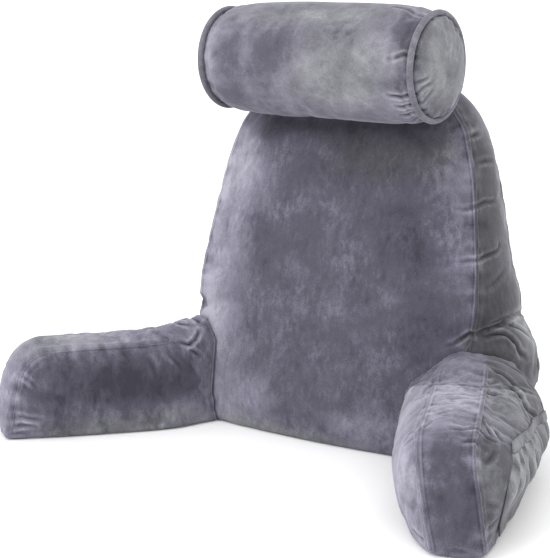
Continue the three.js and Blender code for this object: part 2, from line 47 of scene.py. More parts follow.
# --- Backrest ---------------------------------------------------------------------------
# The wedge: a smooth front panel and a back panel of crushed velvet, with a band of the same
# cloth between them round both sides and the top. The seams stand up as a narrow flat welt,
# and the stuffing pushes the cloth out between them.
BACKREST_MIDDLE = (16.3, 36.9)
FRONT_LEAN = 0.216
SHOULDER = 360
BACKREST_TOP = 488
CORNER_POWER = 3
SPREAD_POWER = 0.8
BACKREST_WIDTHS = [
    {"up": 0, "half": 176}, {"up": 45, "half": 184}, {"up": 100, "half": 198},
    {"up": 165, "half": 213}, {"up": 230, "half": 212}, {"up": 320, "half": 199},
    {"up": 400, "half": 184}, {"up": 488, "half": 164},
]
BACKREST_DEPTHS = [
    {"up": 0, "depth": 176, "spread": 1.2}, {"up": 50, "depth": 170, "spread": 1.27},
    {"up": 90, "depth": 160, "spread": 1.3}, {"up": 128, "depth": 150, "spread": 1.19},
    {"up": 170, "depth": 138, "spread": 1.075}, {"up": 208, "depth": 127, "spread": 1.035},
    {"up": 250, "depth": 115, "spread": 1.0}, {"up": 336, "depth": 94, "spread": 0.985},
    {"up": 400, "depth": 82, "spread": 0.96}, {"up": 488, "depth": 68, "spread": 0.95},
]
SEAM_FOOT = -12
BORDER_STEPS = {"side": 40, "corner": 30}
WELD = 0.02

# How the stuffing is blown in: the size of the cloth's mesh, how far it is first drawn in, and
# the most that it may then move. The cloth is held fast up to "full" from what holds it.
BACKREST_VOXEL = 5.8
BACKREST_DRAW_IN = 2.5
BACKREST_MOST = 8
SEAM_HOLD = {"full": 5, "none": 15}
NEIGHBOUR_HOLD = {"full": 5, "none": 16}
FOOT_HOLD = {"full": 3, "none": 12}
STUFFING_STEPS = 20
SEAM_STEP = 1.2
CREASE_EASE = 24
REFINE = {"seam": 8, "crease": 9}

# A welt is two layers turned under and pressed flat. A lone line of stitches has only its
# edge, and a line where the pile turns has only the painted shade beside it, so their distances
# are counted from further out. Every seam fades over its last stretch.
SEAM_START = {"welt": 0, "stitched": 2.7, "turned": 4.4}
SEAM_FADE = 10
WELT = {
    "height": 0.7, "flat": 2.0, "edge": 3.8, "groove": 0.7, "groove_at": 5.2, "groove_width": 2.2,
}

# Where a piece is sewn to its neighbour, the stitches run this far from it.
SEWN_GAP = 4.5
SEWN_START = 2.1
PUCKER = {"size": 0.9, "length": 11, "spacing": 12}
# A pucker's troughs get painted shade and its crests a painted highlight.
PUCKER_TONE = {"fold": 0.5, "fold_from": 0.1, "light": 0.2}
LUMP = {"size": 1.0, "spacing": 80}
FOOT_CLEAR = 12

# How a crease is drawn. Distances are in its own widths, its full depth is in millimetres, and
# the rest are shares. Its trough gets painted shade and its lip a painted highlight.
CREASE = {"reach": 4, "end": 0.02, "lip_at": 2.0, "lip_width": 0.8, "lip_share": 0.6,
          "shade_width": 0.6, "full_depth": 3.2, "light": 0.3}


# A crease pressed into a cover: the points that it runs through, its width and depth, and how
# strong its lip is.
def pressed(line, width, depth, lip, **where):
    return {"line": line, "width": width, "depth": depth, "lip": lip, **where}


# A patch of lighter or darker tone, for pile brushed another way and for painted light and shade:
# its middle, its half size on each axis and its weight.
def tone_patch(at, size, weight):
    return {"at": at, "size": size, "weight": weight}


# Creases of the backrest: how far behind the front seam (+) or in on the front panel (-), and
# how high.
BACKREST_CREASES = [
    pressed([(4, 168), (24, 169), (42, 171), (54, 173), (66, 176), (80, 181), (104, 180),
             (132, 174)], 3.4, 6.5, 0.7),
    pressed([(14, 163), (40, 160), (66, 152), (90, 138), (112, 122)], 3.2, 3.2, 0.7),
    pressed([(34, 184), (58, 190), (84, 191), (104, 188)], 3.6, 2.0, 0.4),
    pressed([(60, 168), (88, 162), (110, 150), (126, 138)], 3.4, 2.4, 0.5),
    pressed([(-28, 321), (-11, 323), (2, 327), (16, 330), (31, 332),
             (50, 331)], 2.6, 2.2, 0.4, sides=(1,)),
    pressed([(-24, 257), (-12, 260), (3, 261), (13, 262), (28, 265),
             (56, 271)], 2.6, 2.4, 0.4, sides=(1,)),
    pressed([(6, 381), (24, 380), (46, 378)], 3.0, 1.8, 0.4),
    pressed([(-8, 411), (8, 413), (30, 416)], 3.0, 2.2, 0.4, sides=(1,)),
    pressed([(14, 222), (34, 228), (60, 240)], 3.4, 1.4, 0.3),
    pressed([(-18, 157), (-9, 166), (0, 172), (6, 166)], 2.4, 2.6, 0.5, sides=(1,)),
    pressed([(-30, 149), (-22, 152), (-14, 160)], 2.4, 1.4, 0.4, sides=(1,)),
]

# Where the pile of the backrest has been brushed lighter (+) or darker (-), with painted shadow
# under the neck roll and painted shade down the band's right side, and below it where it shows
# greyer.
BACKREST_NAP_AND_SHADE = {
    "front": [
        tone_patch((0, 60, 250), (400, 200, 400), -0.13),
        tone_patch((-184, 110, 340), (26, 60, 90), 0.34),
        tone_patch((-160, 100, 320), (60, 60, 110), 0.26),
        tone_patch((180, 80, 230), (40, 60, 60), -0.12),
        tone_patch((-182, 70, 200), (30, 40, 80), 0.12),
        tone_patch((-160, 60, 190), (60, 40, 80), 0.22),
        tone_patch((-130, 100, 376), (44, 40, 50), 0.22),
        tone_patch((-188, 90, 160), (16, 60, 60), 0.12),
        # The strip just under the neck roll is painted shadow.
        tone_patch((-90, 100, 416), (50, 40, 14), -0.08),
        tone_patch((60, 110, 418), (170, 40, 20), -0.16),
        tone_patch((90, 100, 374), (90, 40, 34), -0.14),
        tone_patch((-70, 90, 330), (50, 40, 46), 0.05),
        tone_patch((180, 100, 385), (20, 40, 44), 0.2),
        tone_patch((196, 95, 280), (18, 40, 90), 0.14),
        tone_patch((140, 90, 310), (30, 40, 60), -0.1),
        tone_patch((110, 80, 290), (50, 40, 60), -0.07),
        tone_patch((-30, 70, 270), (70, 40, 60), -0.08),
        tone_patch((180, 60, 160), (60, 40, 44), -0.16),
        tone_patch((-165, 60, 125), (36, 50, 60), 0.3),
        tone_patch((-110, 50, 110), (34, 50, 40), 0.12),
        tone_patch((-134, 40, 44), (40, 40, 40), 0.28),
        tone_patch((-70, 35, 52), (36, 40, 30), 0.26),
        tone_patch((0, 40, 60), (30, 40, 24), -0.04),
        tone_patch((66, 30, 40), (26, 40, 18), 0.14),
        tone_patch((-40, 30, 6), (150, 40, 14), 0.16),
        tone_patch((120, 36, 30), (70, 40, 26), 0.12),
    ],
    "band": [
        # The band's right side is painted darker: painted shade on the side turned from the lamp.
        tone_patch((240, 110, 230), (120, 110, 360), -0.27),
        tone_patch((245, 110, 178), (60, 50, 30), -0.12),
        tone_patch((250, 196, 160), (40, 36, 50), 0.34),
        tone_patch((236, 190, 300), (60, 26, 130), 0.2),
        tone_patch((200, 200, 420), (60, 40, 40), 0.16),
    ],
}
BACKREST_GREY = {
    "band": [
        tone_patch((250, 130, 240), (130, 130, 400), 1.0),
        tone_patch((0, 240, 250), (400, 60, 400), 0.4),
    ],
    "front": [
        tone_patch((-60, 28, 6), (140, 30, 14), 0.9),
        tone_patch((80, 100, 384), (90, 40, 34), 0.7),
        tone_patch((170, 100, 410), (26, 30, 50), 0.4),
    ],
}
PATCH_EDGE = [{"size": 9, "spacing": 42}, {"size": 4, "spacing": 13}]
PATCH_POWER = 1.5
PATCH_SEED = 11
PART_EDGE = 1
VELVET = {"dark": "#383740", "low": "#4f4d59", "high": "#72707e", "light": "#9997a3"}
VELVET_GREY = {"dark": "#37373a", "low": "#4c4c4f", "high": "#6f7073", "light": "#949597"}
# The colour of the painted shade mixed in down in crease and pucker troughs.
FOLD_SHADE = "#17161b"
PATCH_LENGTH = 58
STROKED_LENGTH = 38
FIBRE_LENGTH = 1.6
STROKE_TONE = 0.9
FIBRE_TONE = 0.34
STROKE_HEIGHT = 1.4


def choose(piece):
    bpy.ops.object.select_all(action="DESELECT")
    piece.select_set(True)
    bpy.context.view_layer.objects.active = piece


def apply_modifier(piece, modifier):
    choose(piece)
    bpy.ops.object.modifier_apply(modifier=modifier.name)


def read(items, field):
    values = np.empty(len(items) * 3, np.float32)
    items.foreach_get(field, values)
    return values.reshape(-1, 3).astype(float)


def write_points(piece, points):
    piece.data.vertices.foreach_set("co", points.astype(np.float32).ravel())
    piece.data.update()


def ease(low, high, value):
    t = np.clip((value - low) / (high - low), 0, 1)
    return t * t * (3 - 2 * t)


def tree_of(piece):
    return BVHTree.FromObject(piece, bpy.context.evaluated_depsgraph_get())


def distances(tree, points, most):
    found = (tree.find_nearest(Vector(p), most)[3] for p in points)
    return np.array([most if d is None else d for d in found])


# A smooth curve through one column of a table, from its first column.
def curve(rows, key, at):
    start = next(iter(rows[0]))
    places = [row[start] for row in rows]
    k = min(max(int(np.searchsorted(places, at)) - 1, 0), len(rows) - 2)
    a, b, c, d = (rows[min(max(k + step, 0), len(rows) - 1)] for step in (-1, 0, 1, 2))
    span = c[start] - b[start]
    t = min(max((at - b[start]) / span, 0), 1)
    slope_b = (c[key] - a[key]) / (c[start] - a[start]) * span
    slope_c = (d[key] - b[key]) / (d[start] - b[start]) * span
    return ((2 * t ** 3 - 3 * t ** 2 + 1) * b[key] + (t ** 3 - 2 * t ** 2 + t) * slope_b
            + (3 * t ** 2 - 2 * t ** 3) * c[key] + (t ** 3 - t ** 2) * slope_c)


def half_width(up):
    above = min(max((up - SHOULDER) / (BACKREST_TOP - SHOULDER), 0), 1)
    return curve(BACKREST_WIDTHS, "half", up) * (1 - above ** CORNER_POWER) ** (1 / CORNER_POWER)


# A point of the backrest's border, or of the band or front panel beside it.
def beside_border(side, behind, up):
    depth = curve(BACKREST_DEPTHS, "depth", up)
    share = min(max(behind / depth, 0), 1)
    widen = 1 + (curve(BACKREST_DEPTHS, "spread", up) - 1) * share ** SPREAD_POWER
    return (
        BACKREST_MIDDLE[0] + side * (half_width(up) * widen + min(behind, 0)),
        BACKREST_MIDDLE[1] + FRONT_LEAN * up + max(behind, 0),
        up,
    )


# The seam round a panel: up one side, over the rounded top and down the other.
def border(back):
    rises = list(np.linspace(SEAM_FOOT, SHOULDER, BORDER_STEPS["side"]))
    for left in np.linspace(1, 0, BORDER_STEPS["corner"])[1:]:
        share = (1 - left ** CORNER_POWER) ** (1 / CORNER_POWER)
        rises.append(SHOULDER + (BACKREST_TOP - SHOULDER) * share)
    depth = [curve(BACKREST_DEPTHS, "depth", up) if back else 0 for up in rises]
    climb = [beside_border(-1, behind, up) for behind, up in zip(depth, rises)]
    return climb + [beside_border(1, behind, up) for behind, up in zip(depth, rises)][::-1]


# A working copy of a solid, with its loose triangles joined up.
def copy_of(node_name, name):
    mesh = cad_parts[node_name].data.copy()
    mesh.materials.clear()
    piece = bpy.data.objects.new(name, mesh)
    bpy.context.scene.collection.objects.link(piece)
    shell = bmesh.new()
    shell.from_mesh(mesh)
    bmesh.ops.remove_doubles(shell, verts=shell.verts, dist=WELD * MM)
    shell.to_mesh(mesh)
    shell.free()
    choose(piece)
    bpy.ops.mesh.customdata_custom_splitnormals_clear()
    return piece


# A line of table points as points a step apart, in metres.
def dense(line):
    rows = np.array(line, float) * MM
    parts = []
    for a, b in zip(rows[:-1], rows[1:]):
        count = max(1, round(float(np.linalg.norm(b - a)) / (SEAM_STEP * MM)))
        parts.append(a + (b - a) * np.arange(count)[:, None] / count)
    parts.append(rows[-1:])
    return np.vstack(parts)


def search_tree(points):
    tree = KDTree(len(points))
    for k, point in enumerate(points):
        tree.insert(point, k)
    tree.balance()
    return tree


# Seam lines, each given with its kind, as one search tree. A line fades out at its ends.
def sewn(lines):
    rows, starts = [], []
    for kind, line in lines:
        row = dense(line)
        ends = np.arange(len(row))
        near_end = np.minimum(ends, ends[::-1]) * SEAM_STEP / SEAM_FADE
        rows.append(row)
        starts.append(SEAM_START[kind] + SEAM_FADE * np.clip(1 - near_end, 0, 1))
    return {"tree": search_tree(np.vstack(rows)), "start": np.concatenate(starts)}


# Lays each crease on the piece's surface and evens out its course.
def laid(piece, creases):
    tree = tree_of(piece)
    rows = []
    for crease in creases:
        row = np.array([tree.find_nearest(Vector(p))[0] for p in dense(crease["line"])])
        for _ in range(CREASE_EASE):
            row[1:-1] = (row[:-2] + 2 * row[1:-1] + row[2:]) / 4
        rows.append({**crease, "points": row})
    return rows


# Stuffs a cushion: the cloth starts a little inside the solid and is blown out between its
# seams, while the seams, the foot and the places that touch a neighbour stay held.
def stuff(piece, seams, neighbours, voxel, draw_in, most, slack):
    remesh = piece.modifiers.new("even cloth", "REMESH")
    remesh.mode = "VOXEL"
    remesh.voxel_size = voxel * MM
    remesh.use_smooth_shade = True
    apply_modifier(piece, remesh)
    points = read(piece.data.vertices, "co")
    normals = read(piece.data.vertices, "normal")
    to_seam = np.array([seams["tree"].find(p)[2] for p in points])
    held = 1 - ease(SEAM_HOLD["full"] * MM, SEAM_HOLD["none"] * MM, to_seam)
    low = 1 - ease(FOOT_HOLD["full"] * MM, FOOT_HOLD["none"] * MM, points[:, 2])
    held = np.maximum(held, low)
    for tree in neighbours:
        gap = distances(tree, points, NEIGHBOUR_HOLD["none"] * MM)
        near = 1 - ease(NEIGHBOUR_HOLD["full"] * MM, NEIGHBOUR_HOLD["none"] * MM, gap)
        held = np.maximum(held, near)
    start = points - normals * draw_in * MM * (1 - held)[:, None]
    write_points(piece, start)
    group = piece.vertex_groups.new(name="held")
    for k, weight in enumerate(held):
        group.add([k], float(weight), "REPLACE")
    cloth = piece.modifiers.new("stuffing", "CLOTH")
    settings = cloth.settings
    settings.quality = 4
    settings.mass = 0.2
    settings.tension_stiffness = 12
    settings.compression_stiffness = 12
    settings.shear_stiffness = 5
    settings.bending_stiffness = 0.6
    settings.use_pressure = True
    settings.uniform_pressure_force = 4
    settings.shrink_min = -slack
    settings.effector_weights.gravity = 0
    settings.vertex_group_mass = "held"
    settings.pin_stiffness = 1.5
    cloth.collision_settings.use_collision = False
    cloth.collision_settings.use_self_collision = False
    for step in range(1, STUFFING_STEPS + 1):
        bpy.context.scene.frame_set(step)
    apply_modifier(piece, cloth)
    bpy.context.scene.frame_set(1)
    moved = read(piece.data.vertices, "co") - start
    length = np.linalg.norm(moved, axis=1, keepdims=True)
    moved *= np.minimum(1, most * MM / np.maximum(length, 1e-9))
    write_points(piece, start + moved)
    piece.vertex_groups.clear()


# Halves the mesh all over, then once more along the seams and creases.
def refine(piece, seams, creases):
    smooth = piece.modifiers.new("finer cloth", "SUBSURF")
    smooth.levels = 1
    smooth.render_levels = 1
    apply_modifier(piece, smooth)
    shell = bmesh.new()
    shell.from_mesh(piece.data)
    close = {v.index for v in shell.verts if seams["tree"].find(v.co)[2] < REFINE["seam"] * MM}
    if creases:
        folds = search_tree(np.vstack([crease["points"] for crease in creases]))
        close |= {v.index for v in shell.verts if folds.find(v.co)[2] < REFINE["crease"] * MM}
    edges = [e for e in shell.edges if e.verts[0].index in close and e.verts[1].index in close]
    bmesh.ops.subdivide_edges(shell, edges=edges, cuts=1, smooth=0.4, use_grid_fill=True)
    shell.to_mesh(piece.data)
    shell.free()
    piece.data.shade_smooth()


def store(piece, name, values):
    layer = piece.data.attributes.new(name, "FLOAT", "POINT")
    layer.data.foreach_set("value", np.asarray(values, np.float32))


# The relief of a finished cover, in millimetres out from the cloth: the welt and the puckers
# that its stitches pull, lumps in the stuffing, then the creases. It stores painted shade down in
# the troughs. Gives back where the points were, in millimetres, and the painted highlight beside
# a pucker or crease. A piece that is sewn to a neighbour also shows stitches along it.
def cover_relief(piece, seams, creases, welt=WELT, pucker=PUCKER, sewn_to=None):
    points = read(piece.data.vertices, "co")
    normals = read(piece.data.vertices, "normal")
    nearest = [seams["tree"].find(p) for p in points]
    start = seams["start"][[n[1] for n in nearest]]
    d = np.array([n[2] for n in nearest]) / MM + start
    if sewn_to:
        gap = distances(sewn_to, points, 2 * SEAM_REACH * MM) / MM
        d = np.minimum(d, np.abs(gap - SEWN_GAP) + SEWN_START)
    ripple = 2 * np.array([noise.noise(n[0] * (1000 / pucker["spacing"])) for n in nearest])
    swell = np.array([noise.noise(Vector(p) * (1000 / LUMP["spacing"])) for p in points])
    ridge = 1 - ease(welt["flat"], welt["edge"], d)
    groove = np.exp(-((d - welt["groove_at"]) / welt["groove_width"]) ** 2)
    reach = np.exp(-np.maximum(d - welt["edge"], 0) / pucker["length"]) * (1 - ridge)
    out = welt["height"] * ridge - welt["groove"] * groove
    out += pucker["size"] * ripple * reach + LUMP["size"] * swell * (1 - ridge)
    out *= ease(0, FOOT_CLEAR, points[:, 2] / MM)
    fold = PUCKER_TONE["fold"] * reach * np.clip(-ripple - PUCKER_TONE["fold_from"], 0, 1)
    light = PUCKER_TONE["light"] * reach * np.clip(ripple, 0, 1)
    for crease in creases:
        snapped = crease["points"]
        span = CREASE["reach"] * crease["width"] * MM
        low, high = snapped.min(0) - span, snapped.max(0) + span
        inside = np.flatnonzero(((points > low) & (points < high)).all(1))
        gaps = np.linalg.norm(points[inside, None] - snapped[None], axis=2)
        along = gaps.argmin(1) / max(len(snapped) - 1, 1)
        gap = gaps.min(1) / MM / crease["width"]
        along = np.clip(along, CREASE["end"], 1 - CREASE["end"])
        fade = np.sqrt(np.clip(np.sin(np.pi * along), 0, 1))
        trough = np.exp(-gap ** 2) * fade
        lip = np.exp(-((gap - CREASE["lip_at"]) / CREASE["lip_width"]) ** 2) * fade
        out[inside] += crease["depth"] * (crease["lip"] * lip * CREASE["lip_share"] - trough)
        depth = min(1, crease["depth"] / CREASE["full_depth"])
        shade = np.exp(-(gap / CREASE["shade_width"]) ** 2) * fade * depth
        fold[inside] = np.maximum(fold[inside], shade)
        light[inside] += CREASE["light"] * lip * depth
    write_points(piece, points + normals * out[:, None] * MM)
    # Painted shade down in the troughs of the creases and puckers.
    store(piece, "fold", np.clip(fold, 0, 1))
    store(piece, "seam", np.minimum(d, SEAM_REACH))
    return points / MM, light


# Patches of tone: flat in the middle, with an uneven edge. Noise vectors start from the
# clock until they are given a seed.
def patches(points, table):
    noise.seed_set(PATCH_SEED)
    where = points + sum(
        row["size"] * np.array([noise.noise_vector(Vector(p) / row["spacing"]) for p in points])
        for row in PATCH_EDGE
    )
    total = np.zeros(len(points))
    for row in table:
        reach = (((where - row["at"]) / row["size"]) ** 2).sum(1)
        total += row["weight"] * np.exp(-reach ** PATCH_POWER)
    return total


# Patches grouped by the part they lie on; parts tell how far each point belongs to each.
def patches_by_part(points, parts, tables):
    return sum(
        weight * patches(points, tables.get(part, [])) for part, weight in parts.items()
    )


def linear(hex_colour):
    values = (int(hex_colour[k:k + 2], 16) / 255 for k in (1, 3, 5))
    return (
        *(v / 12.92 if v <= 0.04045 else ((v + 0.055) / 1.055) ** 2.4 for v in values), 1,
    )


# Adds a shader node; an input given as (node, output) is linked, any other is set.
def add(tree, kind, inputs=None, **settings):
    made = tree.nodes.new(kind)
    for name, value in settings.items():
        setattr(made, name, value)
    for name, value in (inputs or {}).items():
        if isinstance(value, tuple) and isinstance(value[0], bpy.types.Node):
            tree.links.new(value[0].outputs[value[1]], made.inputs[name])
        else:
            made.inputs[name].default_value = value
    return made


def set_ramp(ramp, stops):
    elements = ramp.color_ramp.elements
    for k, (place, colour) in enumerate(stops):
        stop = elements[k] if k < 2 else elements.new(place)
        stop.position, stop.color = place, colour


# The painted tone across a seam by the distance from its middle: painted shade in its middle and
# in the groove beside the welt, a painted highlight on the welt's edge. 0.5 leaves the pile as it
# is.
SEAM_REACH = 12
SEAM_TONES = [
    (0, 0.3), (1.4, 0.42), (2.3, 0.82), (3.1, 0.58), (4.2, 0.16), (5.8, 0.45), (9.5, 0.5),
]


# Crushed polyester velvet, woven with a short cut pile. The pile lies in different ways, so it
# shows soft light and dark patches with streaks along the way that it was stroked, and shines
# palely at its edges. Some patches that it reads from the mesh are painted light and shade, and
# it gets painted shade down in a fold and painted highlight and shade across a seam. Stroke is
# the streaks' length on each axis in millimetres.
def crushed_velvet(name, stroke, colours=VELVET, patchy=1.0, streaky=1.0, seam_light_and_shade=0.5):
    material = bpy.data.materials.new(name)
    material.use_nodes = True
    tree = material.node_tree
    surface = tree.nodes["Principled BSDF"]
    where = add(tree, "ShaderNodeTexCoord")
    stretched = add(
        tree, "ShaderNodeMapping",
        {"Vector": (where, "Object"), "Scale": tuple(1000 / length for length in stroke)},
    )
    patch = add(
        tree, "ShaderNodeTexNoise",
        {"Vector": (where, "Object"), "Scale": 1000 / PATCH_LENGTH, "Detail": 5.0,
         "Roughness": 0.6, "Distortion": 0.5},
    )
    strokes = add(
        tree, "ShaderNodeTexNoise",
        {"Vector": (stretched, "Vector"), "Scale": 1.0, "Detail": 4.0, "Roughness": 0.62,
         "Distortion": 0.3},
    )
    where_stroked = add(
        tree, "ShaderNodeTexNoise",
        {"Vector": (where, "Object"), "Scale": 1000 / STROKED_LENGTH, "Detail": 2.0},
    )
    fibre = add(
        tree, "ShaderNodeTexNoise",
        {"Vector": (where, "Object"), "Scale": 1000 / FIBRE_LENGTH, "Detail": 2.0},
    )
    mask = add(
        tree, "ShaderNodeMapRange",
        {"Value": (where_stroked, "Fac"), "From Min": 0.38, "From Max": 0.66, "To Min": 0.3,
         "To Max": 1.0},
    )
    nap = add(tree, "ShaderNodeAttribute", attribute_name="nap")
    grey = add(tree, "ShaderNodeAttribute", attribute_name="grey")
    fold = add(tree, "ShaderNodeAttribute", attribute_name="fold")
    seam = add(tree, "ShaderNodeAttribute", attribute_name="seam")
    reach = add(tree, "ShaderNodeMath", {0: (seam, "Fac"), 1: SEAM_REACH}, operation="DIVIDE")
    profile = add(tree, "ShaderNodeValToRGB", {"Fac": (reach, 0)})
    set_ramp(profile, [(d / SEAM_REACH, (tone, tone, tone, 1)) for d, tone in SEAM_TONES])

    def blend(value, weight, base):
        centred = add(tree, "ShaderNodeMath", {0: value, 1: 0.5}, operation="SUBTRACT")
        inputs = {0: (centred, 0), 1: weight, 2: base}
        return add(tree, "ShaderNodeMath", inputs, operation="MULTIPLY_ADD"), 0

    masked = add(
        tree, "ShaderNodeMath", {0: (mask, "Result"), 1: STROKE_TONE * streaky},
        operation="MULTIPLY",
    )
    total = blend((patch, "Fac"), patchy, (nap, "Fac"))
    total = blend((strokes, "Fac"), (masked, 0), total)
    total = blend((fibre, "Fac"), FIBRE_TONE, total)
    # Painted highlight and shade across the seams.
    total = blend((profile, "Color"), seam_light_and_shade, total)
    level = add(tree, "ShaderNodeMath", {0: total, 1: 0.5}, operation="ADD", use_clamp=True)
    ramps = []
    for tones in (colours, VELVET_GREY):
        ramp = add(tree, "ShaderNodeValToRGB", {"Fac": (level, 0)})
        set_ramp(ramp, [
            (0.08, linear(tones["dark"])), (0.95, linear(tones["light"])),
            (0.36, linear(tones["low"])), (0.64, linear(tones["high"])),
        ])
        ramps.append(ramp)
    toned = add(
        tree, "ShaderNodeMix",
        {"Factor": (grey, "Fac"), 6: (ramps[0], "Color"), 7: (ramps[1], "Color")},
        data_type="RGBA",
    )
    # Painted shade darkens the colour down in a crease or pucker.
    shaded = add(
        tree, "ShaderNodeMix",
        {"Factor": (fold, "Fac"), 6: (toned, 2), 7: linear(FOLD_SHADE)},
        data_type="RGBA",
    )
    tree.links.new(shaded.outputs[2], surface.inputs["Base Color"])
    height = add(
        tree, "ShaderNodeMath",
        {0: (strokes, "Fac"), 1: STROKE_HEIGHT, 2: (fibre, "Fac")},
        operation="MULTIPLY_ADD",
    )
    relief = add(
        tree, "ShaderNodeBump",
        {"Height": (height, 0), "Strength": 0.5, "Distance": 0.5 * MM},
    )
    tree.links.new(relief.outputs["Normal"], surface.inputs["Normal"])
    surface.inputs["Roughness"].default_value = 0.88
    surface.inputs["Specular IOR Level"].default_value = 0.18
    surface.inputs["Sheen Weight"].default_value = 0.3
    surface.inputs["Sheen Roughness"].default_value = 0.42
    surface.inputs["Sheen Tint"].default_value = linear("#dddbe8")
    return material


roll_solid = tree_of(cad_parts["neck_roll"])
piping_solids = [tree_of(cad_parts[f"roll_piping_{side}"]) for side in ("left", "right")]
arm_solids = [tree_of(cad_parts[f"arm_{side}"]) for side in ("left", "right")]
backrest_solid = tree_of(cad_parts["backrest"])

backrest = copy_of("backrest", "backrest_cushion")
backrest_neighbours = [roll_solid, *piping_solids, *arm_solids]
backrest_seams = sewn([("welt", border(back=False)), ("welt", border(back=True))])
stuff(backrest, backrest_seams, backrest_neighbours, BACKREST_VOXEL, BACKREST_DRAW_IN,
      BACKREST_MOST, slack=0.015)
backrest_creases = laid(backrest, [
    {**row, "line": [beside_border(side, *point) for point in row["line"]]}
    for row in BACKREST_CREASES for side in row.get("sides", (-1, 1))
])
refine(backrest, backrest_seams, backrest_creases)
points, light = cover_relief(backrest, backrest_seams, backrest_creases)
behind = points[:, 1] - BACKREST_MIDDLE[1] - FRONT_LEAN * points[:, 2]
on_band = ease(-PART_EDGE, PART_EDGE, behind)
parts = {"front": 1 - on_band, "band": on_band}
store(backrest, "nap", patches_by_part(points, parts, BACKREST_NAP_AND_SHADE) + light)
store(backrest, "grey", np.clip(patches_by_part(points, parts, BACKREST_GREY), 0, 1))
backrest.data.materials.append(
    crushed_velvet("crushed velvet, stroked down", (7, 7, 14), patchy=0.6, streaky=0.8)
)
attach(backrest, "root")
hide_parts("backrest")

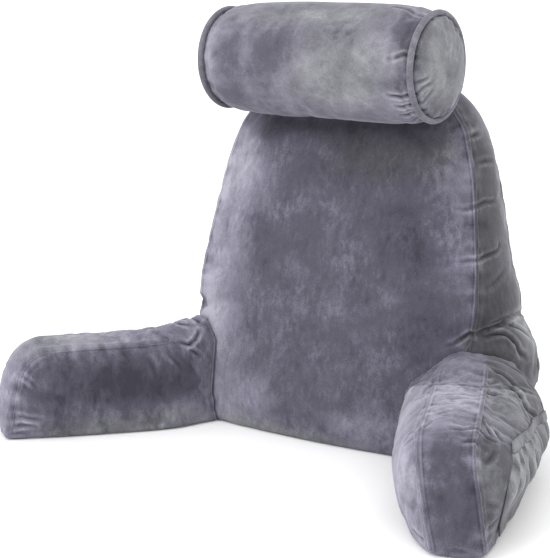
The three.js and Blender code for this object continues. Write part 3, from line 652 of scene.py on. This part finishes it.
# --- Arms -------------------------------------------------------------------------------
# Each arm has an inner and an outer side panel with a band over the top and down the end. A
# seam crosses its top near the backrest, where the cloth is gathered into the wedge's side.
# Rows give points of an arm: out along it, away from the seat, and up. "edge" is the kind of
# the band's seams, and "inset" how far the inner one lies in from the arm's crest. "behind" is
# what lies between the crossing seam and the backrest.
ARM_VOXEL = 4.6
ARM_DRAW_IN = 2.5
ARM_MOST = 5
ARM_CORNER = 45
FLARE_TOP = 104
ARM_RISE = {"from": 60, "to": 220}
BAND_STEPS = {"top": 30, "corner": 12, "end": 14}
CROSSING_EDGE = 0.8
ARM_TOP = [
    {"out": -108, "up": 142}, {"out": -20, "up": 139}, {"out": 25, "up": 134},
    {"out": 63, "up": 127}, {"out": 110, "up": 124}, {"out": 300, "up": 123},
]
ARMS = {
    "left": {
        "side": -1, "splay": 37, "root": (-182.7, 58.9), "lean": 0.02, "length": 274,
        "rise": 4, "flare": 19, "seam_from": 46, "crossing": "stitched",
        "band": {"inner": -36, "outer": 33}, "inset": 6, "edge": "stitched",
        "seam": [(78, 24, 128), (75, -17, 133), (67, -24, 129), (57, -34, 123), (40, -37, 114),
                 (24, -39, 101), (10, -41, 90)],
        "creases": [
            pressed([(44, -33, 119), (36, -34, 117), (29, -34, 113), (20, -30, 120),
                     (10, -20, 131)], 2.8, 3.4, 0.6),
            pressed([(28, -36, 106), (22, -36, 104), (14, -36, 96)], 2.6, 2.2, 0.5),
            pressed([(44, 10, 134), (32, 0, 134), (18, -8, 132)], 3.2, 2.2, 0.5),
            pressed([(16, 22, 136), (10, 6, 136), (4, -8, 134)], 3.6, 3.0, 0.5),
            pressed([(64, -43, 108), (54, -47, 98), (44, -50, 84)], 3.2, 1.3, 0.4),
            pressed([(96, -44, 108), (88, -48, 92), (82, -50, 74)], 3.8, 1.1, 0.4),
            pressed([(268, -38, 92), (258, -42, 84), (250, -44, 76)], 2.6, 1.4, 0.5),
            pressed([(270, -38, 84), (262, -42, 76), (256, -44, 70)], 2.6, 1.0, 0.5),
            pressed([(278, -33, 36), (262, -40, 32), (244, -44, 30)], 3.0, 1.8, 0.5),
            pressed([(280, -30, 22), (268, -38, 20), (254, -42, 18)], 3.0, 2.0, 0.5),
            pressed([(284, -22, 12), (274, -32, 11), (262, -38, 10)], 2.6, 1.4, 0.4),
        ],
        # The inner side is painted darker, as painted shade, and the top of the band lighter, as
        # painted light.
        "nap": {
            "inner": [
                tone_patch((180, -52, 74), (124, 30, 48), -0.36),
                tone_patch((40, -52, 64), (60, 30, 36), -0.16),
                tone_patch((110, -52, 10), (150, 30, 18), 0.06),
                tone_patch((170, -52, 36), (40, 30, 12), 0.1),
                tone_patch((262, -42, 40), (30, 30, 30), 0.14),
            ],
            "band": [
                tone_patch((200, 0, 128), (90, 60, 30), 0.2),
                tone_patch((110, 0, 128), (34, 60, 30), 0.06),
                tone_patch((285, 0, 70), (30, 60, 60), 0.22),
            ],
            "behind": [
                tone_patch((30, -10, 126), (34, 40, 20), 0.14),
            ],
        },
        "grey": {
            "inner": [
                tone_patch((130, -52, 8), (140, 30, 22), 0.85),
            ],
            "band": [
                tone_patch((220, 0, 132), (90, 60, 24), 0.6),
            ],
            "outer": [
                tone_patch((120, 60, 60), (150, 40, 80), 0.6),
            ],
        },
        "stroke": (9, 9, 22),
    },
    "right": {
        "side": 1, "splay": 20, "root": (246.3, 56.9), "lean": 0.16, "length": 290,
        "rise": 0, "flare": 0, "seam_from": 14, "crossing": "turned",
        "band": {"inner": -26, "outer": 32}, "inset": 0, "edge": "welt",
        "seam": [(20, -66, 98), (27, -58, 111), (50, -46, 121), (76, -33, 127), (98, -2, 134),
                 (88, 16, 132), (75, 30, 128), (58, 46, 123), (49, 59, 120), (39, 72, 116),
                 (27, 83, 110), (16, 90, 102)],
        "creases": [
            pressed([(90, 34, 126), (76, 46, 122), (67, 56, 118), (70, 66, 113), (76, 74, 107),
                     (90, 80, 99)], 3.2, 4.2, 0.7),
            pressed([(37, 56, 123), (42, 62, 120), (49, 75, 112), (60, 82, 102),
                     (54, 92, 92)], 3.0, 3.8, 0.6),
            pressed([(8, 34, 134), (14, 50, 129), (24, 62, 122), (34, 74, 112)], 3.0, 2.4, 0.5),
            pressed([(56, 36, 127), (46, 42, 126), (34, 46, 126)], 2.8, 1.8, 0.5),
            pressed([(124, -17, 131), (123, 8, 133), (100, 34, 125)], 2.8, 1.1, 0.7),
            pressed([(140, -14, 132), (136, 8, 133), (118, 30, 127)], 2.6, 0.9, 0.7),
            pressed([(165, -8, 133), (153, 10, 133), (136, 26, 127)], 2.8, 1.0, 0.7),
            pressed([(204, -20, 130), (188, 2, 133), (172, 22, 129)], 3.0, 1.0, 0.7),
            pressed([(252, 8, 131), (246, 15, 130), (239, 21, 129), (232, 28, 126), (227, 38, 120),
                     (225, 50, 111)], 2.8, 5.2, 0.8),
            pressed([(268, 18, 124), (262, 27, 123), (257, 35, 118)], 2.6, 2.0, 0.6),
            pressed([(184, 37, 122), (198, 42, 119), (216, 49, 113)], 2.6, 3.0, 0.6),
            pressed([(180, 43, 119), (194, 49, 115), (212, 57, 107)], 2.6, 2.6, 0.6),
            pressed([(234, -28, 126), (244, -36, 120), (246, -44, 110)], 2.6, 1.5, 0.7),
            pressed([(223, -13, 132), (238, -20, 129), (252, -25, 126)], 2.6, 1.4, 0.7),
            pressed([(212, -44, 118), (226, -46, 112), (234, -50, 102)], 2.6, 1.2, 0.6),
            pressed([(240, 50, 106), (256, 48, 104), (270, 42, 102)], 3.2, 1.8, 0.5),
            pressed([(282, 38, 60), (272, 46, 56), (262, 50, 50)], 3.0, 1.2, 0.5),
            pressed([(284, 38, 30), (274, 44, 32), (262, 46, 36)], 3.0, 1.6, 0.5),
            pressed([(286, -30, 14), (278, -38, 16), (266, -44, 20)], 2.8, 1.6, 0.5),
            pressed([(290, -10, 8), (290, 4, 10), (289, 16, 8)], 2.8, 1.2, 0.5),
        ],
        # The inner side, which faces the lamp, is painted lighter, and the outer side darker:
        # painted light and painted shade.
        "nap": {
            "behind": [
                tone_patch((10, -10, 110), (80, 60, 60), 0.02),
                tone_patch((20, -60, 100), (80, 40, 50), -0.08),
                tone_patch((-20, 0, 134), (60, 60, 40), -0.16),
                tone_patch((30, 0, 134), (36, 26, 20), 0.08),
            ],
            "behind outer": [
                tone_patch((10, 70, 110), (90, 60, 60), -0.32),
            ],
            "band": [
                tone_patch((284, -24, 98), (30, 11, 30), 0.26),
                tone_patch((282, 32, 104), (26, 9, 22), 0.12),
                tone_patch((130, 0, 128), (90, 60, 30), 0.28),
                tone_patch((236, -14, 126), (30, 26, 20), 0.1),
                tone_patch((292, 6, 70), (34, 40, 62), -0.26),
                tone_patch((262, 4, 124), (26, 34, 14), -0.02),
                tone_patch((262, 20, 118), (22, 30, 16), -0.12),
            ],
            "inner": [
                tone_patch((130, -60, 90), (130, 50, 60), 0.3),
                tone_patch((250, -50, 50), (50, 40, 70), 0.22),
                tone_patch((270, -44, 96), (28, 30, 26), 0.06),
            ],
            "outer": [
                tone_patch((150, 60, 112), (60, 40, 24), 0.08),
                tone_patch((236, 56, 96), (34, 30, 32), -0.26),
                tone_patch((276, 44, 30), (30, 30, 40), -0.04),
                tone_patch((130, 80, 60), (150, 50, 70), -0.12),
            ],
        },
        "grey": {
            "outer": [
                tone_patch((60, 80, 80), (180, 70, 100), 1.0),
                tone_patch((270, 50, 60), (60, 40, 80), 0.7),
            ],
            "behind outer": [
                tone_patch((0, 80, 100), (120, 70, 90), 1.0),
            ],
            "inner": [
                tone_patch((60, -70, 70), (50, 40, 50), 0.3),
            ],
        },
        "stroke": (9, 14, 22),
    },
}


def on_arm(arm, out, away, up):
    splay = math.radians(arm["splay"])
    across = away - arm["lean"] * up
    return (
        arm["root"][0] + arm["side"] * (math.sin(splay) * out + math.cos(splay) * across),
        arm["root"][1] - math.cos(splay) * out + math.sin(splay) * across,
        up,
    )


# The other way round: points of the object told along, across and up an arm.
def from_arm(arm, points):
    splay = math.radians(arm["splay"])
    east = (points[:, 0] - arm["root"][0]) * arm["side"]
    north = points[:, 1] - arm["root"][1]
    out = math.sin(splay) * east - math.cos(splay) * north
    away = math.cos(splay) * east + math.sin(splay) * north + arm["lean"] * points[:, 2]
    return np.stack([out, away, points[:, 2]], axis=1)


# A seam between a side panel and the band: out along the top, round the corner, down the end.
def band_seam(arm, away, inset):
    def top(out):
        lift = arm["rise"] * float(ease(ARM_RISE["from"], ARM_RISE["to"], out))
        return curve(ARM_TOP, "up", out) + lift - inset

    bend = arm["length"] - ARM_CORNER
    crest = top(bend)
    corner = ARM_CORNER - inset
    told = [(out, top(out)) for out in np.linspace(arm["seam_from"], bend, BAND_STEPS["top"])]
    for angle in np.linspace(0, math.pi / 2, BAND_STEPS["corner"]):
        told.append((bend + corner * math.sin(angle), crest - corner * (1 - math.cos(angle))))
    foot = np.linspace(crest - corner, SEAM_FOOT, BAND_STEPS["end"])
    told += [(bend + corner, up) for up in foot]
    flares = [arm["flare"] * max(1 - up / FLARE_TOP, 0) if out > bend else 0 for out, up in told]
    return [on_arm(arm, out + flare, away, up) for (out, up), flare in zip(told, flares)]


def drawn_to(solid, line):
    return [tuple(solid.find_nearest(Vector(p) * MM)[0] / MM) for p in line]


# Which vertices lie on each part of an arm, with an edge as sharp as the mesh.
def arm_parts(arm, told):
    rows = sorted((away, out) for out, away, _ in arm["seam"])
    crossing = np.interp(told[:, 1], [row[0] for row in rows], [row[1] for row in rows])
    front = ease(-CROSSING_EDGE, CROSSING_EDGE, told[:, 0] - crossing)
    band = arm["band"]
    inner = 1 - ease(band["inner"] - PART_EDGE, band["inner"] + PART_EDGE, told[:, 1])
    outer = ease(band["outer"] - PART_EDGE, band["outer"] + PART_EDGE, told[:, 1])
    return {
        "inner": inner * front, "outer": outer * front, "band": (1 - inner) * (1 - outer) * front,
        "behind": (1 - front) * (1 - outer), "behind outer": (1 - front) * outer,
    }


arm_pieces = {}
for side, arm in ARMS.items():
    piece = copy_of(f"arm_{side}", f"arm_{side}_cushion")
    solid = tree_of(piece)
    band = arm["band"]
    seams = sewn([
        (arm["edge"], drawn_to(solid, band_seam(arm, band["inner"], arm["inset"]))),
        (arm["edge"], drawn_to(solid, band_seam(arm, band["outer"], 0))),
        (arm["crossing"], drawn_to(solid, [on_arm(arm, *row) for row in arm["seam"]])),
    ])
    stuff(piece, seams, [backrest_solid], ARM_VOXEL, ARM_DRAW_IN, ARM_MOST, slack=0.03)
    creases = laid(piece, [
        {**row, "line": [on_arm(arm, *point) for point in row["line"]]} for row in arm["creases"]
    ])
    refine(piece, seams, creases)
    points, light = cover_relief(piece, seams, creases, sewn_to=backrest_solid)
    told = from_arm(arm, points)
    parts = arm_parts(arm, told)
    store(piece, "nap", patches_by_part(told, parts, arm["nap"]) + light)
    store(piece, "grey", np.clip(patches_by_part(told, parts, arm["grey"]), 0, 1))
    piece.data.materials.append(
        crushed_velvet(f"crushed velvet of the {side} arm", arm["stroke"], patchy=0.8,
                       seam_light_and_shade=0.38)
    )
    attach(piece, "root")
    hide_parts(f"arm_{side}")
    arm_pieces[side] = piece

# --- Pocket -----------------------------------------------------------------------------
# One cloth of velvet on the outer side of the right arm, sewn in along its foot and ends and
# gathered into small pleats under the flat band at its mouth. It lies closed.
POCKET = {"back": 16, "front": 256, "front_top": 214, "bend": 58, "foot": 16, "clear": 1.0}
POCKET_MOUTH = {"back": 77, "front": 98}
POCKET_CLOTH = 1.6
POCKET_GRID = (220, 26)
# The pleats' crests are also painted lighter, a painted highlight.
PLEATS = {"count": 9, "depth": 5.2, "power": 0.7, "waver": 0.35, "waver_rate": 6,
          "flat": 0.1, "full_from": 0.7, "edge": 0.02, "nap": 0.45, "nap_from": 0.6}

# The cloth is cast on to the arm from this far off, then evened out and softened.
CAST_FROM = 160
CLOTH_EASE = 40
CLOTH_SOFT = 3

# The band's width at its back and front, how it overlaps the pocket, and its two rows of
# stitches, given as shares of its width.
BAND = {"back": 10, "front": 7, "thickness": 2.2, "overlap": 3, "gap": -1.2, "lift": 1.7}
BAND_STITCHES = {"rows": (0.16, 0.84), "width": 0.05, "depth": 0.5}
BAND_RIPPLE = {"size": 0.35, "rate": (40, 2), "seed": 3}
BAND_GRID = (120, 8)
POCKET_NAP = -0.2
POCKET_BAND_NAP = 0.04
POCKET_GREY = 0.6


def mouth_at(share):
    return POCKET_MOUTH["back"] + (POCKET_MOUTH["front"] - POCKET_MOUTH["back"]) * share


def front_at(up):
    past = max(up - POCKET["bend"], 0) / (POCKET_MOUTH["front"] - POCKET["bend"])
    return POCKET["front"] + (POCKET["front_top"] - POCKET["front"]) * past ** 2


def evened(grid, times):
    for _ in range(times):
        wide = np.pad(grid, ((1, 1), (1, 1), (0, 0)), mode="edge")
        grid = (wide[:-2, 1:-1] + wide[2:, 1:-1] + wide[1:-1, :-2] + wide[1:-1, 2:]) / 4
    return grid


# A grid laid over the arm's outer side, spanning the arm's own wrinkles: a point's place
# comes from its shares along and up.
def lay_on_arm(name, grid, place, lift):
    bpy.ops.object.select_all(action="DESELECT")
    bpy.ops.mesh.primitive_grid_add(x_subdivisions=grid[0], y_subdivisions=grid[1], size=2)
    piece = bpy.context.object
    piece.name = name
    arm = ARMS["right"]
    surface = tree_of(arm_pieces["right"])
    splay = math.radians(arm["splay"])
    outward = Vector((math.cos(splay), math.sin(splay), 0))
    shares = [((v.co.x + 1) / 2, (v.co.y + 1) / 2) for v in piece.data.vertices]
    places = [place(*share) for share in shares]
    starts = [Vector(on_arm(arm, out, CAST_FROM, up)) * MM for out, up in places]
    hits = [surface.ray_cast(start, -outward) for start in starts]
    touched = np.array([[*hit[1], hit[3]] for hit in hits])
    touched = touched.reshape(grid[1] + 1, grid[0] + 1, len(touched[0]))
    spanned = evened(touched, CLOTH_EASE)
    spanned[..., 3] = np.minimum(spanned[..., 3], touched[..., 3])
    spanned = evened(spanned, CLOTH_SOFT).reshape(len(starts), len(touched[0, 0]))
    for vertex, start, share, row in zip(piece.data.vertices, starts, shares, spanned):
        facing = (Vector(row[:3]) + outward).normalized()
        vertex.co = start - outward * row[3] + facing * (lift(*share) * MM)
    return piece


def give_thickness(piece, thickness):
    wall = piece.modifiers.new("cloth", "SOLIDIFY")
    wall.thickness = thickness * MM
    wall.offset = 1
    apply_modifier(piece, wall)
    piece.data.shade_smooth()


def pleat(along):
    waver = PLEATS["waver"] * noise.noise(Vector((along * PLEATS["waver_rate"], 0, 0)))
    phase = PLEATS["count"] * along + waver
    return (0.5 - 0.5 * math.cos(2 * math.pi * phase)) ** PLEATS["power"]


def pocket_place(along, rise):
    up = POCKET["foot"] + (mouth_at(along) - POCKET["foot"]) * rise
    return POCKET["back"] + (front_at(up) - POCKET["back"]) * along, up


def pocket_lift(along, rise):
    bulge = math.sin(math.pi * max(min(rise, 1), 0)) ** PLEATS["power"]
    gathered = PLEATS["flat"] + (1 - PLEATS["flat"]) * bulge
    gathered *= float(ease(0, PLEATS["full_from"], rise))
    edge = float(ease(0, PLEATS["edge"], along) * ease(0, PLEATS["edge"], 1 - along))
    return POCKET["clear"] + PLEATS["depth"] * pleat(along) * gathered * edge


def band_place(along, rise):
    past = BAND["overlap"] / (POCKET["front_top"] - POCKET["back"])
    width = BAND["back"] + (BAND["front"] - BAND["back"]) * along
    up = mouth_at(along * (1 + 2 * past) - past) + BAND["gap"] + width * rise
    start = POCKET["back"] - BAND["overlap"]
    return start + (front_at(up) + BAND["overlap"] - start) * along, up


def band_lift(along, rise):
    rows = BAND_STITCHES["rows"]
    pulls = (math.exp(-((rise - row) / BAND_STITCHES["width"]) ** 2) for row in rows)
    rate = BAND_RIPPLE["rate"]
    place = Vector((along * rate[0], rise * rate[1], BAND_RIPPLE["seed"]))
    ripple = BAND_RIPPLE["size"] * noise.noise(place)
    return POCKET["clear"] + BAND["lift"] - BAND_STITCHES["depth"] * sum(pulls) + ripple


pocket = lay_on_arm("pocket_cloth", POCKET_GRID, pocket_place, pocket_lift)
give_thickness(pocket, POCKET_CLOTH)
pocket_band = lay_on_arm("pocket_mouth_band", BAND_GRID, band_place, band_lift)
give_thickness(pocket_band, BAND["thickness"])
pocket_velvet = crushed_velvet(
    "crushed velvet of the pocket", (5, 5, 24), colours=VELVET_GREY, patchy=0.7,
)
told = from_arm(ARMS["right"], read(pocket.data.vertices, "co") / MM)
rise = (told[:, 2] - POCKET["foot"]) / (POCKET_MOUTH["front"] - POCKET["foot"])
along = (told[:, 0] - POCKET["back"]) / (POCKET["front"] - POCKET["back"])
# The pleats' crests are painted lighter, as a painted highlight.
creased = np.array([pleat(share) for share in along]) * ease(0, PLEATS["nap_from"], rise)
store(pocket, "nap", PLEATS["nap"] * creased + POCKET_NAP)
store(pocket_band, "nap", np.full(len(pocket_band.data.vertices), POCKET_BAND_NAP))
for piece in (pocket, pocket_band):
    count = len(piece.data.vertices)
    store(piece, "grey", np.full(count, POCKET_GREY))
    store(piece, "fold", np.zeros(count))
    store(piece, "seam", np.full(count, SEAM_REACH))
    piece.data.materials.append(pocket_velvet)
    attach(piece, "root")
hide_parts("pocket_right")
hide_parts("pocket_band_right")

# --- Neck roll --------------------------------------------------------------------------
# A round bolster: one panel of velvet wrapped about the stuffing, closed at each end by a
# round cloth, with a covered cord sewn in between. It lies in the hollow that it presses in
# the top of the backrest.
ROLL_VOXEL = 4.4
ROLL_DRAW_IN = 2
ROLL_MOST = 4
ROLL_CENTRE = (16.3, 70.9, 508)
ROLL_TURN = -3.9
ROLL_TIP = -1.6
PIPING_AT = 162
PIPING_RADIUS = 62
PIPING_SHRINK = 0.15
RING_STEP = 5
ROLL_VELVET = {"dark": "#403f48", "low": "#55535f", "high": "#767480", "light": "#9896a1"}
ROLL_NAP = [
    tone_patch((-138, 20, 510), (12, 60, 60), 0.2),
    tone_patch((-98, 10, 515), (22, 60, 60), -0.17),
    tone_patch((-68, 10, 520), (10, 40, 44), 0.08),
    tone_patch((-26, 0, 522), (36, 40, 28), -0.13),
    tone_patch((-30, 10, 470), (60, 40, 24), 0.12),
    tone_patch((60, 0, 500), (40, 40, 36), 0.12),
    tone_patch((168, 0, 505), (16, 40, 44), -0.2),
    tone_patch((112, 4, 528), (36, 50, 44), 0.2),
    tone_patch((160, 10, 545), (16, 40, 24), -0.2),
    tone_patch((100, 5, 458), (70, 40, 22), 0.2),
    tone_patch((60, 30, 565), (100, 50, 16), 0.14),
    tone_patch((200, 60, 500), (24, 90, 90), 0.16),
]
ROLL_GREY = [
    tone_patch((195, 60, 510), (26, 90, 90), 1.0),
    tone_patch((-174, 70, 510), (26, 90, 90), 0.9),
    tone_patch((30, 40, 575), (150, 60, 26), 0.7),
    tone_patch((75, 0, 500), (80, 60, 60), 0.75),
]
ROLL_CREASES = [
    pressed([(170, 168, 66), (152, 167, 74), (136, 172, 74)], 2.4, 3.0, 0.4),
    pressed([(170, 210, 66), (152, 212, 74), (132, 208, 74)], 2.4, 3.2, 0.4),
    pressed([(170, 222, 66), (152, 225, 74), (138, 222, 74)], 2.4, 3.2, 0.4),
    pressed([(170, 235, 66), (152, 238, 74), (138, 235, 74)], 2.4, 3.0, 0.4),
    pressed([(170, 248, 66), (150, 252, 74), (130, 248, 74)], 2.4, 2.8, 0.4),
    pressed([(170, 112, 66), (140, 108, 74), (110, 106, 76)], 2.8, 2.2, 0.4),
    pressed([(168, 196, 66), (178, 196, 54), (180, 192, 48)], 2.0, 1.6, 0.4),
    pressed([(168, 208, 66), (178, 207, 54), (180, 203, 42)], 2.4, 2.0, 0.4),
    pressed([(168, 224, 66), (178, 222, 52), (180, 216, 46)], 2.0, 1.6, 0.4),
]
# The cord's wrinkles; where they bulge out they are painted lighter, a painted highlight.
PIPING_WRINKLE = {"size": 0.16, "spacing": 9, "nap": 0.1}
PIPING_GREY = 0.5
PIPING_NAP = {"left": 0.02, "right": 0.08}


def roll_axes():
    turn, tip = math.radians(ROLL_TURN), math.radians(ROLL_TIP)
    along = Vector((math.cos(turn) * math.cos(tip), math.sin(turn) * math.cos(tip), math.sin(tip)))
    level = Vector((-math.sin(turn), math.cos(turn), 0))
    return along, level, along.cross(level)


# A place on the roll: out along it, degrees round it from its back upwards, and off its middle.
def on_roll(out, degrees, radius):
    along, level, upright = roll_axes()
    angle = math.radians(degrees)
    round_it = level * math.cos(angle) + upright * math.sin(angle)
    return tuple(Vector(ROLL_CENTRE) + along * out + round_it * radius)


roll = copy_of("neck_roll", "neck_roll_cushion")
rings = [
    [on_roll(end * PIPING_AT, degrees, PIPING_RADIUS) for degrees in range(0, 361, RING_STEP)]
    for end in (-1, 1)
]
roll_seams = sewn([("turned", ring) for ring in rings])
stuff(roll, roll_seams, [backrest_solid], ROLL_VOXEL, ROLL_DRAW_IN, ROLL_MOST, slack=0.02)
roll_creases = laid(roll, [
    {**row, "line": [on_roll(*point) for point in row["line"]]} for row in ROLL_CREASES
])
refine(roll, roll_seams, roll_creases)
points, light = cover_relief(
    roll, roll_seams, roll_creases, welt={**WELT, "height": 0, "groove": 0.5},
    pucker={"size": 1.8, "length": 15, "spacing": 12},
)
store(roll, "nap", patches(points, ROLL_NAP) + light)
store(roll, "grey", np.clip(patches(points, ROLL_GREY), 0, 1))
roll.data.materials.append(
    crushed_velvet("crushed velvet of the roll", (14, 9, 14), colours=ROLL_VELVET, patchy=0.9,
                   streaky=0.7)
)
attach(roll, "root")
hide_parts("neck_roll")

piping_velvet = crushed_velvet(
    "velvet covered cord", (6, 6, 6), patchy=0.3, streaky=0.4,
)
for side in ("left", "right"):
    piping = copy_of(f"roll_piping_{side}", f"roll_piping_cord_{side}")
    rounded = piping.modifiers.new("round cord", "SUBSURF")
    rounded.levels = 2
    rounded.render_levels = 2
    apply_modifier(piping, rounded)
    points = read(piping.data.vertices, "co")
    normals = read(piping.data.vertices, "normal")
    rate = 1000 / PIPING_WRINKLE["spacing"]
    wrinkle = np.array([noise.noise(Vector(point) * rate) for point in points])
    lift = PIPING_WRINKLE["size"] * wrinkle[:, None] - PIPING_SHRINK
    write_points(piping, points + normals * lift * MM)
    piping.data.shade_smooth()
    # The wrinkles' bumps are painted lighter, as a painted highlight.
    store(piping, "nap", PIPING_NAP[side] + PIPING_WRINKLE["nap"] * wrinkle)
    store(piping, "grey", np.full(len(points), PIPING_GREY))
    store(piping, "fold", np.zeros(len(points)))
    store(piping, "seam", np.full(len(points), SEAM_REACH))
    piping.data.materials.append(piping_velvet)
    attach(piping, "root")
    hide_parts(f"roll_piping_{side}")

# --- Studio -----------------------------------------------------------------------------
# A white floor under a bright even sky, one big soft lamp high on the left, and a camera that
# looks down a little from the right.
FLOOR_SIZE = 40
SKY_STRENGTH = 1.5
KEY_LAMP = {"at": (-900, -2300, 2400), "aim": (0, 0, 250), "size": 1.8, "watts": 34}
CAMERA_AT = (838.7, -1338.6, 538.7)
CAMERA_AIM = (16.6, -58.1, 240.2)
LENS = 79.26

bpy.ops.object.select_all(action="DESELECT")
bpy.ops.mesh.primitive_plane_add(size=FLOOR_SIZE)
floor = bpy.context.object
floor.name = "floor"
paper = bpy.data.materials.new("white studio paper")
paper.use_nodes = True
paper.node_tree.nodes["Principled BSDF"].inputs["Base Color"].default_value = linear("#f6f6f6")
paper.node_tree.nodes["Principled BSDF"].inputs["Roughness"].default_value = 0.95
paper.node_tree.nodes["Principled BSDF"].inputs["Specular IOR Level"].default_value = 0.0
floor.data.materials.append(paper)

world = bpy.data.worlds.new("studio")
world.use_nodes = True
world.node_tree.nodes["Background"].inputs["Color"].default_value = (1, 1, 1, 1)
world.node_tree.nodes["Background"].inputs["Strength"].default_value = SKY_STRENGTH
bpy.context.scene.world = world

lamp = bpy.data.lights.new("key lamp", "AREA")
lamp.size = KEY_LAMP["size"]
lamp.energy = KEY_LAMP["watts"]
key = bpy.data.objects.new("key lamp", lamp)
bpy.context.scene.collection.objects.link(key)
key.location = Vector(KEY_LAMP["at"]) * MM
key.rotation_euler = (
    (Vector(KEY_LAMP["aim"]) - Vector(KEY_LAMP["at"])).to_track_quat("-Z", "Y").to_euler()
)

lens = bpy.data.cameras.new("camera")
lens.lens = LENS
lens.sensor_width = 36
lens.clip_end = 100
camera = bpy.data.objects.new("camera", lens)
bpy.context.scene.collection.objects.link(camera)
camera.location = Vector(CAMERA_AT) * MM
camera.rotation_euler = (
    (Vector(CAMERA_AIM) - Vector(CAMERA_AT)).to_track_quat("-Z", "Y").to_euler()
)
bpy.context.scene.camera = camera
bpy.context.scene.view_settings.view_transform = "Standard"
